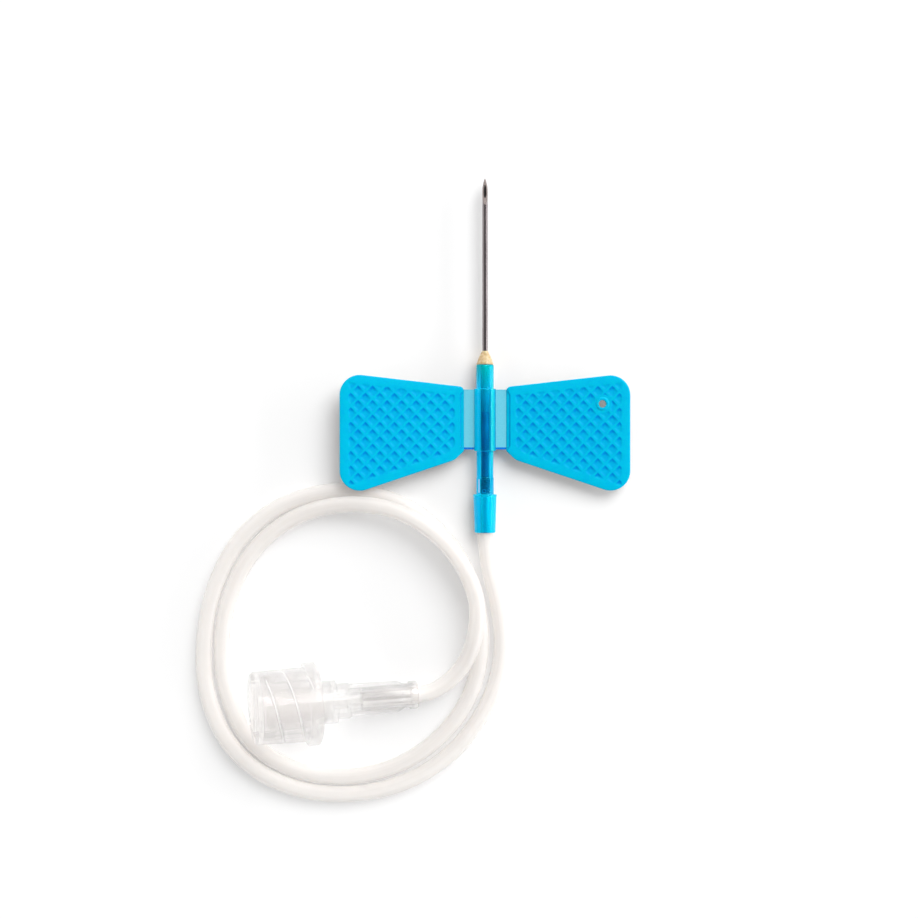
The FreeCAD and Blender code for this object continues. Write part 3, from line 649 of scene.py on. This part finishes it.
def edge_distance(x, y):
    """How far inside the unrounded outline a point lies."""
    best = 1e9
    for i in range(len(CORNERS)):
        a, b = Vector(CORNERS[i][0]), Vector(CORNERS[(i + 1) % len(CORNERS)][0])
        d = (b - a).normalized()
        best = min(best, d.x * (y - a.y) - d.y * (x - a.x))
    return best


def cell(x, y):
    """Place in a dimple along its upper right and upper left sides, from -1 to 1 between ridges."""
    a = (x - DIMPLE_X + y - DIMPLE_Y) / PITCH
    b = (x - DIMPLE_X - y + DIMPLE_Y) / PITCH
    inner = 1 - RIDGE * math.sqrt(0.5) * 2 / PITCH
    return (a - round(a)) * 2 / inner, -(b - round(b)) * 2 / inner


def from_hole(x, y):
    return math.hypot(x - HOLE_X, y - HOLE_Y)


def hole_ring(r):
    """Points on a circle round the middle of the hole."""
    return [Vector((HOLE_X + r * math.cos(a), HOLE_Y + r * math.sin(a))) for a in even(HOLE_STEPS)]


def field(x, y, marked):
    """1 where the wing is dimpled, 0 on its margin and round the hole."""
    fade = smooth((edge_distance(x, y) - MARGIN) / 0.22) * smooth((x - 3.62) / 0.2)
    if marked:
        fade *= smooth((from_hole(x, y) - HOLE_BORDER) / 0.25)
    return fade


def groove(y):
    """Where the groove runs: straight beside the strip, and closer to the hub at its ends."""
    return GROOVE_X - 0.36 * smooth((abs(y + 0.1) - 3.0) / 0.75)


def wing_top(x, y, marked):
    """Height of a wing's upper face over its middle plane."""
    u, v = cell(x, y)
    z = HALF
    if max(abs(u), abs(v)) < 1:
        near_ridge = (abs(u) ** 6 + abs(v) ** 6) ** (1 / 6)
        depth = smooth((1 - min(1.0, near_ridge)) / 0.6) * (0.7 + 0.15 * (u + v))
        z -= PIT * field(x, y, marked) * depth
    return z - GROOVE_DEPTH * smooth((groove(y) - x) / 0.05 + 0.5)


def wing_painted_shade(x, y, marked):
    """Painted shade in the blue: a little in each dimple, most under the ridges at its front corner,
    and a dark line along the groove.
    """
    u, v = cell(x, y)
    # Painted shade along the groove beside the strip.
    line = max(0.0, 1 - abs(x - groove(y)) / 0.09)
    if max(abs(u), abs(v)) >= 1:
        return 0.85 * line
    # Painted shade over the floor of each dimple, and most under the ridges at its front corner.
    pit_floor_shade = 0.30 * smooth((1 - max(abs(u), abs(v))) / 0.2)
    corner = smooth((min(u, v) + 0.45) / 0.8) * smooth((max(u, v) - 0.25) / 0.45)
    corner *= smooth((1 - max(u, v)) / 0.1)
    return max(0.85 * line, field(x, y, marked) * (pit_floor_shade + 0.70 * corner))


def wing_mesh(marked):
    """A wing plate with filleted edges and dimples on its upper face. The marked one has the hole."""
    outline = outline_points(CORNERS)
    count = len(outline)
    rings = []
    for k in range(FILLET_STEPS + 1):
        t = math.radians(90 / FILLET_STEPS * k)
        rings.append((FILLET * (1 - math.sin(t)), FILLET * (1 - math.cos(t))))
    verts = []
    for side in (1, -1):
        for inset, drop in (rings if side > 0 else rings[::-1]):
            for p, u in outline:
                q = p - u * inset
                top = wing_top(q.x, q.y, marked) if side > 0 else HALF
                verts.append((q.x, q.y, side * (top - drop)))
    faces = []
    levels = 2 * len(rings)
    for k in range(levels - 1):
        for i in range(count):
            j = (i + 1) % count
            faces.append((k * count + i, (k + 1) * count + i, (k + 1) * count + j, k * count + j))

    def cap(level, inner, z_of, flip):
        """Fills a ring of the outline with triangles through the inner points and round the hole."""
        loop = [Vector(verts[level * count + i][:2]) for i in range(count)]
        edges = [(i, (i + 1) % count) for i in range(count)]
        hole = hole_ring(HOLE_R) if marked else []
        edges += [(count + i, count + (i + 1) % len(hole)) for i in range(len(hole))]
        points = loop + hole + inner
        out, _, tris, origin, _, _ = delaunay_2d_cdt(points, edges, [], 1, 1e-5)
        where = {}
        for n, p in enumerate(out):
            source = origin[n][0] if origin[n] else None
            if source is not None and source < count:
                where[n] = level * count + source
            else:
                where[n] = len(verts)
                verts.append((p.x, p.y, z_of(p.x, p.y)))
        hole_ids = [None] * len(hole)
        for n, sources in enumerate(origin):
            for source in sources:
                if count <= source < count + len(hole):
                    hole_ids[source - count] = where[n]
        for tri in tris:
            middle = sum((out[n] for n in tri), Vector((0, 0))) / len(tri)
            if hole and (middle - Vector((HOLE_X, HOLE_Y))).length < HOLE_R:
                continue
            ids = [where[n] for n in tri]
            faces.append(ids[::-1] if flip else ids)
        return hole_ids

    # Points lie closest together at the ridges, at the groove and at the raised ring.
    grid = []
    steps = (-0.5, -0.46, -0.43, -0.38, -0.32, -0.24, -0.12, 0.0, 0.12, 0.24, 0.32, 0.38, 0.43, 0.46)
    for i in range(-16, 17):
        for j in range(-16, 17):
            for p in steps:
                for q in steps:
                    a, b = (i + p) * PITCH, (j + q) * PITCH
                    x, y = DIMPLE_X + (a + b) / 2, DIMPLE_Y + (a - b) / 2
                    if edge_distance(x, y) > 0.9 and x > 3.4:
                        if not marked or from_hole(x, y) > HOLE_BORDER:
                            grid.append(Vector((x, y)))
    for k in range(-42, 43):
        for x in (2.86, 2.92, 2.98, 3.04, 3.1, 3.3):
            y = k * 0.09 - 0.1
            if edge_distance(x, y) > 0.2:
                grid.append(Vector((x, y)))
    if marked:
        for r in (0.48, 0.52, 0.6, 0.68, 0.72, 0.76, 0.82, 0.9):
            grid += hole_ring(r)

    def top_z(x, y):
        z = wing_top(x, y, marked)
        if marked:
            r = from_hole(x, y)
            z += RING_HEIGHT * smooth((0.80 - r) / 0.1) * smooth((r - 0.43) / 0.06)
        return z

    upper = cap(0, grid, top_z, False)
    lower = cap(levels - 1, [], lambda x, y: -HALF, True)
    for i in range(len(upper)):
        j = (i + 1) % len(upper)
        faces.append((upper[i], upper[j], lower[j], lower[i]))
    return verts, faces


def paint_pit_shade(o, verts, marked):
    """Stores the painted shade of each point of the upper face, in the plastic's colour."""
    store(o, "pit_painted_shade", [wing_painted_shade(x, y, marked) if z > 0 and edge_distance(x, y) > 0.2 else 0.0
                     for x, y, z in verts])


verts, faces = wing_mesh(True)
o = piece("right_wing_plate", verts, faces, HUB, wing_blue, "right_wing", angle=50,
          nodes=("wing_right",))
paint_pit_shade(o, verts, True)
verts, faces = wing_mesh(False)
hinge = Matrix.Translation((-HINGE_X, 0, 0))
raised = Matrix.Rotation(math.radians(LEFT_PITCH), 4, "Y")
LEFT = HUB @ hinge @ raised @ hinge.inverted() @ Matrix.Diagonal((-1, 1, 1, 1))
o = piece("left_wing_plate", verts, faces, LEFT, wing_blue, "left_wing", angle=50,
          nodes=("wing_left",))
paint_pit_shade(o, verts, False)


# Living hinges
STRIP_X, STRIP_STEP, STRIP_COLUMNS = 1.22, 0.07, 20
STRIP_Y, STRIP_ROWS = 3.6, 61
STRIP_HALF = 0.2
DEEP_END = -3.40


def strip_mesh():
    """A thin box in rows and columns, so that it can bend."""
    xs = [STRIP_X + STRIP_STEP * k for k in range(STRIP_COLUMNS)]
    ys = [-STRIP_Y + 2 * STRIP_Y * k / (STRIP_ROWS - 1) for k in range(STRIP_ROWS)]
    verts, faces = [], []
    index = {}

    def vert(i, j, side):
        key = (i, j, side)
        if key not in index:
            index[key] = len(verts)
            verts.append((xs[i], ys[j], side * STRIP_HALF))
        return index[key]

    right, top = STRIP_COLUMNS - 1, STRIP_ROWS - 1
    for i in range(right):
        for j in range(top):
            corners = ((i, j), (i + 1, j), (i + 1, j + 1), (i, j + 1))
            faces.append([vert(*corners[k], 1) for k in (0, 1, 2, 3)])
            faces.append([vert(*corners[k], -1) for k in (0, 3, 2, 1)])
    for i in range(right):
        faces.append([vert(i, 0, -1), vert(i + 1, 0, -1), vert(i + 1, 0, 1), vert(i, 0, 1)])
        faces.append([vert(i, top, 1), vert(i + 1, top, 1), vert(i + 1, top, -1), vert(i, top, -1)])
    for j in range(top):
        faces.append([vert(0, j, 1), vert(0, j + 1, 1), vert(0, j + 1, -1), vert(0, j, -1)])
        faces.append([vert(right, j, -1), vert(right, j + 1, -1), vert(right, j + 1, 1),
                      vert(right, j, 1)])
    return verts, faces


for side, body, node in ((1, "right_wing", "hinge_right"), (-1, "left_wing", "hinge_left")):
    verts, faces = strip_mesh()
    if side < 0:
        pitched = []
        for x, y, z in verts:
            share = smooth((x - 1.5) / 0.9)
            turned = Matrix.Rotation(math.radians(-LEFT_PITCH * share), 4, "Y")
            p = turned @ Vector((x - HINGE_X, 0, z))
            pitched.append((-(p.x + HINGE_X), y, p.z))
        verts = pitched
    o = piece(node.replace("hinge", "strip"), verts, faces, HUB, strip_blue, None,
              nodes=(node,))
    o.data.materials.append(deep_blue)
    for face in o.data.polygons:
        if abs(face.normal.y) > 0.7 or face.center.y < (DEEP_END + HUB_Y) * MM:
            face.material_index = 1
    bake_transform(o)


# Clear connector
def around(a, period):
    """Distance in radians from an angle to the nearest multiple of a period in degrees."""
    p = math.radians(period)
    return abs((a + p / 2) % p - p / 2)


def between(value, points):
    """Straight lines through (x, y) pairs."""
    for (x0, y0), (x1, y1) in zip(points, points[1:]):
        if value <= x1:
            return y0 + (y1 - y0) * max(0.0, (value - x0)) / (x1 - x0)
    return points[-1][1]


# Half angles of the four fins and of the two lugs in degrees, at their top and at their root
FIN_OUT, FIN_IN = 11.7, 16.1
LUG_OUT, LUG_IN = 25.6, 33.9
FIN_ROOT, BARREL_R = 1.44, 2.87


def luer_radius(r, s, a):
    """Cuts the lugs out of the flange and the fins out of the tail."""
    if r > 3.0 and 1.4 < s < 2.6:
        fall = [(0, r), (math.radians(LUG_OUT), r), (math.radians(LUG_IN), BARREL_R), (4, BARREL_R)]
        return between(around(a, 180), fall)
    if 11.62 < s < 18.3 and 1.45 < r < 2.0:
        fall = [(0, r), (math.radians(FIN_OUT), r), (math.radians(FIN_IN), FIN_ROOT), (4, FIN_ROOT)]
        return between(around(a, 90), fall)
    return r


luer_marks = []
for base in (0, 90, 180, 270):
    for d in (0, FIN_OUT, 12.6, 15.2, FIN_IN):
        luer_marks += [base + d, base - d]
for base in (0, 180):
    for d in (LUG_OUT, 26.6, 33.0, LUG_IN):
        luer_marks += [base + d, base - d]
outer = [(2.2, 1.52), (BARREL_R, 1.52), (3.7, 1.521), (3.7, 2.5), (BARREL_R, 2.52), (BARREL_R, 7.6),
         (2.54, 7.62), (2.54, 10.08), (2.11, 10.1), (2.11, 11.6), (1.99, 11.64), (1.83, 17.5),
         (1.46, 18.28), (FIN_ROOT, 18.92), (1.66, 18.94), (1.66, LUER_TAIL)]
inner = [(1.0, LUER_TAIL), (0.98, 13.1), (0.6, 13.08), (0.6, 9.42), (1.91, 9.4)]
luer_profile = soft(outer + inner, 0.09, steps=2, closed=True)
verts, faces = lathe(luer_profile, mixed(luer_marks, 3.0), luer_radius, closed=True)
piece("luer_body", verts, faces, CONNECTOR, clear, "hub", angle=40,
      nodes=("luer_hub",))

# Screw cap, with its closed end at 0. Its thread has two starts.
RIBS, RIB_HEIGHT = 8, 0.1
CAP_R, CAP_BORE_R = 4.3, 3.9
LEAD, RIDGE_HEIGHT = 5.0, 0.19
THREAD_START, THREAD_END = 1.5, 7.3
GLINT_NEAR, GLINT_FAR = 3.6, 3.735


def cap_radius(r, s, a):
    """Raises the ribs on the outside and the thread inside."""
    if 4.2 < r < 4.35 and 0.45 < s < 6.35:
        rib = smooth((0.062 - around(a, 360 / RIBS)) / 0.02)
        return r + RIB_HEIGHT * rib * smooth((s - 0.45) / 0.15)
    if 3.85 < r < 3.95 and 1.2 < s < 7.6:
        turn = ((s + LEAD * a / (2 * math.pi)) / (LEAD / 2)) % 1.0
        ridge = smooth((0.12 - abs(turn - 0.5)) / 0.1)
        start = smooth((s - THREAD_START) / 0.2)
        return r - RIDGE_HEIGHT * ridge * start * smooth((THREAD_END - s) / 0.2)
    return r


rib_angles = []
for k in range(RIBS):
    for d in (0, 1.2, 2.4, 3.0, 3.6, 4.4):
        rib_angles += [360 / RIBS * k + d, 360 / RIBS * k - d]
cap_outer = soft([(0, 0), (4.0, 0), (CAP_R, 0.3), (CAP_R, 6.35), (FLANGE_R, 6.36),
                  (FLANGE_R, FLANGE_TOP), (4.35, 7.98), (CAP_BORE_R, 7.98)], 0.09, steps=2)
cap_inner = [(CAP_BORE_R, 7.9 - 0.08 * k) for k in range(86)]
cap_plug = soft([(CAP_BORE_R, 1.05), (3.86, 1.0), (2.12, 1.0), (1.88, 8.4), (0, 8.4)], 0.08, steps=2)
verts, faces = lathe(cap_outer + cap_inner + cap_plug, mixed(rib_angles, 2.5), cap_radius)
cap = piece("screw_cap", verts, faces, CONNECTOR, cap_clear, "cap", angle=40,
            nodes=("luer_cap",))
cap.data.materials.append(glint)
to_cap = CONNECTOR.inverted()
for face in cap.data.polygons:
    x, along_cap, z = to_cap @ (face.center / MM)
    if GLINT_NEAR < math.hypot(x, z) < GLINT_FAR and THREAD_START < along_cap < THREAD_END:
        face.material_index = 1

# Floor and light
floor_look = material("floor_white", (0.95, 0.95, 0.95), 0.9, Specular_IOR_Level=0.0)
FLOOR_HALF = 3.0
mesh = bpy.data.meshes.new("floor")
floor_corners = [(x * FLOOR_HALF, y * FLOOR_HALF, 0) for x, y in ((-1, -1), (1, -1), (1, 1), (-1, 1))]
mesh.from_pydata(floor_corners, [], [(0, 1, 2, 3)])
mesh.materials.append(floor_look)
floor = bpy.data.objects.new("floor", mesh)
floor.location.z = -0.00002
bpy.context.scene.collection.objects.link(floor)

world = bpy.data.worlds.new("studio")
world.use_nodes = True
background = world.node_tree.nodes["Background"]
background.inputs["Color"].default_value = (1, 1, 1, 1)
direction = add(world, "ShaderNodeTexCoord").outputs["Generated"]
height = add(world, "ShaderNodeSeparateXYZ", links={"Vector": direction}).outputs["Z"]
world.node_tree.links.new(span(world, height, 0.1, 0.9, 1.0, 0.24), background.inputs["Strength"])
bpy.context.scene.world = world


def lamp(name, place, aim, size_x, size_y, power):
    data = bpy.data.lights.new(name, "AREA")
    data.shape = "RECTANGLE"
    data.size, data.size_y, data.energy = size_x, size_y, power
    o = bpy.data.objects.new(name, data)
    o.location = place
    o.rotation_euler = (Vector(aim) - Vector(place)).to_track_quat("-Z", "Y").to_euler()
    bpy.context.scene.collection.objects.link(o)


MIDDLE = (-0.005, -0.015, 0)
TO_SUN = Vector((0.43, 0.57, 0.74))
lamp("fill", (-0.50, -0.05, 0.20), MIDDLE, 0.6, 0.3, 0.35)
lamp("side", (0.46, 0.0, 0.13), MIDDLE, 0.6, 0.08, 0.85)
sun = bpy.data.lights.new("key", "SUN")
sun.energy, sun.angle = 2.28, math.radians(44)
key = bpy.data.objects.new("key", sun)
key.rotation_euler = TO_SUN.to_track_quat("Z", "Y").to_euler()
bpy.context.scene.collection.objects.link(key)

scene = bpy.context.scene
scene.cycles.max_bounces = 32
scene.cycles.transmission_bounces = 32
scene.cycles.transparent_max_bounces = 32
scene.view_settings.view_transform = "Standard"
scene.view_settings.look = "None"
